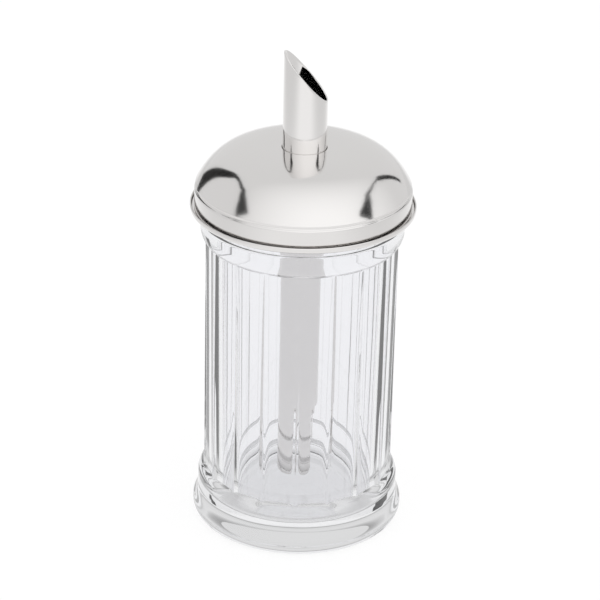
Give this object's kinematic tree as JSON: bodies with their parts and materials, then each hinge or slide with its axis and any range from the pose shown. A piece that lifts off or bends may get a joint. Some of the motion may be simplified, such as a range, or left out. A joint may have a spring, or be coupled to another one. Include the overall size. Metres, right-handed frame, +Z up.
{
  "type": "sugar dispenser",
  "caption": "Panelled glass sugar dispenser with a domed steel screw lid, a slanted pour tube and a small dosing flap.",
  "frame": {"origin": "centre of the foot, on the surface that the jar stands on", "axes": "+Z up along the jar and tube, +X towards the low side of the slanted mouth, -Y the side that faces the viewer"},
  "size_m": [0.078, 0.078, 0.175],
  "materials": {
    "glass": "clear pressed glass, fire polished",
    "polished_steel": "mirror polished stainless steel",
    "satin_steel": "plain stainless steel",
    "clear_seal": "translucent silicone"
  },
  "bodies": {
    "jar": {"jar": "glass"},
    "seal": {"seal_ring": "clear_seal"},
    "lid": {"threaded_collar": "polished_steel", "dome_cover": "polished_steel", "pour_tube": "polished_steel", "tube_ferrule": "satin_steel", "flap_pin": "satin_steel"},
    "flap": {"dosing_flap": "polished_steel"}
  },
  "joints": [
    {"name": "lid_lift", "type": "slide", "parent": "jar", "child": "seal", "axis": [0, 0, 1], "range_m": [0, 0.125]},
    {"name": "lid_turn", "type": "hinge", "parent": "seal", "child": "lid", "pos_m": [0, 0, 0.125], "axis": [0, 0, 1], "range_deg": [0, 90]},
    {"name": "flap_swing", "type": "hinge", "parent": "lid", "child": "flap", "pos_m": [0.00475, 0, 0.0423], "axis": [0, -1, 0], "range_deg": [0, 80]}
  ]
}
